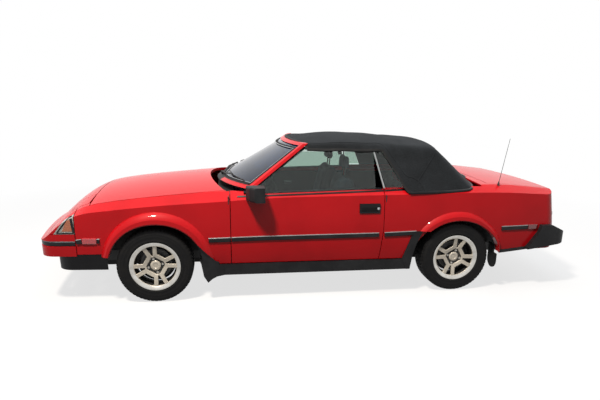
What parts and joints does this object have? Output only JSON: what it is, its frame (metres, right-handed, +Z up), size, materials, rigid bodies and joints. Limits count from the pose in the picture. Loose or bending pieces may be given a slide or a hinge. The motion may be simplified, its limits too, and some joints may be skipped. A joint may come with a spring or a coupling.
{
  "type": "two-door convertible car",
  "caption": "Two-door convertible car with closed fabric top, pop-up headlamps, opening doors, hood and boot lid, and steered front wheels.",
  "frame": {"origin": "on the floor, under the middle of the car's overall box", "axes": "front towards -X, left side towards -Y, +Z up"},
  "size_m": [4.475, 1.896, 1.2991],
  "materials": {
    "paint": "glossy red",
    "tail_lens": "clear red lens",
    "clear_lens": "clear lens",
    "glass": "light green tint",
    "black_plastic": "satin black",
    "mirror_shell": "satin black",
    "rubber": "black",
    "top_fabric": "charcoal woven top cloth",
    "dark_steel": "black chassis paint",
    "underbody": "black underbody coating",
    "cast_iron": "rough",
    "exhaust_steel": "dull",
    "interior_plastic": "grained dark blue grey",
    "seat_cloth": "dark blue cloth",
    "tyre": "black rubber",
    "alloy": "machined and painted"
  },
  "bodies": {
    "root": {"front_fenders": "paint", "quarter_panels": "paint", "rear_panel": "paint", "tail_lamps": "tail_lens", "quarter_glass": "glass", "corner_lamps": "clear_lens", "nose_panel": "paint", "front_bumper": "paint", "air_dam": "black_plastic", "rear_bumper": "black_plastic", "sill_skirts": "black_plastic", "mud_flaps": "rubber", "wheel_flares": "paint", "windscreen_frame": "paint", "windscreen": "glass", "soft_top": "top_fabric", "rear_window": "glass", "roof_bows": "dark_steel", "floor_pan": "underbody", "bulkhead": "underbody", "wheel_arches": "underbody", "front_subframe": "dark_steel", "engine": "cast_iron", "rear_axle": "dark_steel", "exhaust": "exhaust_steel", "fuel_tank": "dark_steel", "dashboard": "interior_plastic", "steering_column": "interior_plastic", "front_seats": "seat_cloth", "rear_seat": "seat_cloth", "antenna": "dark_steel", "rear_shelf": "interior_plastic"},
    "hood_body": {"hood": "paint"},
    "trunk_body": {"trunk_lid": "paint"},
    "steering_wheel_body": {"steering_wheel": "interior_plastic"},
    "left_door_body": {"left_door": "paint", "left_door_glass": "glass", "left_mirror": "mirror_shell", "left_door_handle": "black_plastic"},
    "left_headlamp_body": {"left_headlamp": "paint", "left_headlamp_lens": "clear_lens"},
    "left_knuckle_body": {"left_knuckle": "cast_iron"},
    "front_left_wheel": {"front_left_tyre": "tyre", "front_left_rim": "alloy"},
    "rear_left_wheel": {"rear_left_tyre": "tyre", "rear_left_rim": "alloy"},
    "right_door_body": {"right_door": "paint", "right_door_glass": "glass", "right_mirror": "mirror_shell", "right_door_handle": "black_plastic"},
    "right_headlamp_body": {"right_headlamp": "paint", "right_headlamp_lens": "clear_lens"},
    "right_knuckle_body": {"right_knuckle": "cast_iron"},
    "front_right_wheel": {"front_right_tyre": "tyre", "front_right_rim": "alloy"},
    "rear_right_wheel": {"rear_right_tyre": "tyre", "rear_right_rim": "alloy"}
  },
  "joints": [
    {"name": "hood_hinge", "type": "hinge", "parent": "root", "child": "hood_body", "pos_m": [-0.7475, 0, 0.862], "axis": [0, 1, 0], "range_deg": [0, 48]},
    {"name": "trunk_hinge", "type": "hinge", "parent": "root", "child": "trunk_body", "pos_m": [1.3825, 0, 0.872], "axis": [0, -1, 0], "range_deg": [0, 62]},
    {"name": "left_door_hinge", "type": "hinge", "parent": "root", "child": "left_door_body", "pos_m": [-0.6755, -0.824, 0.55], "axis": [0, 0, -1], "range_deg": [0, 65]},
    {"name": "left_headlamp_hinge", "type": "hinge", "parent": "root", "child": "left_headlamp_body", "pos_m": [-1.7545, -0.51, 0.775], "axis": [0, 1, 0], "range_deg": [0, 34]},
    {"name": "left_steer", "type": "hinge", "parent": "root", "child": "left_knuckle_body", "pos_m": [-1.3325, -0.637, 0.298], "axis": [0, 0.165, 0.9863], "range_deg": [-34, 34]},
    {"name": "front_left_wheel_spin", "type": "hinge", "parent": "left_knuckle_body", "child": "front_left_wheel", "pos_m": [-1.3325, -0.7315, 0.298], "axis": [0, 1, 0], "continuous": true},
    {"name": "rear_left_wheel_spin", "type": "hinge", "parent": "root", "child": "rear_left_wheel", "pos_m": [1.1675, -0.7315, 0.298], "axis": [0, 1, 0], "continuous": true},
    {"name": "right_door_hinge", "type": "hinge", "parent": "root", "child": "right_door_body", "pos_m": [-0.6755, 0.824, 0.55], "axis": [0, 0, 1], "range_deg": [0, 65]},
    {"name": "right_headlamp_hinge", "type": "hinge", "parent": "root", "child": "right_headlamp_body", "pos_m": [-1.7545, 0.51, 0.775], "axis": [0, 1, 0], "range_deg": [0, 34]},
    {"name": "right_steer", "type": "hinge", "parent": "root", "child": "right_knuckle_body", "pos_m": [-1.3325, 0.637, 0.298], "axis": [0, -0.165, 0.9863], "range_deg": [-34, 34]},
    {"name": "front_right_wheel_spin", "type": "hinge", "parent": "right_knuckle_body", "child": "front_right_wheel", "pos_m": [-1.3325, 0.7315, 0.298], "axis": [0, 1, 0], "continuous": true},
    {"name": "rear_right_wheel_spin", "type": "hinge", "parent": "root", "child": "rear_right_wheel", "pos_m": [1.1675, 0.7315, 0.298], "axis": [0, 1, 0], "continuous": true},
    {"name": "steering_wheel_turn", "type": "hinge", "parent": "root", "child": "steering_wheel_body", "pos_m": [-0.3425, -0.37, 0.86], "axis": [0.9063, 0, 0.4226], "range_deg": [-480, 480]}
  ],
  "couplings": [
    {"joint": "right_steer", "follows": "left_steer", "ratio": 1},
    {"joint": "steering_wheel_turn", "follows": "left_steer", "ratio": 14}
  ]
}
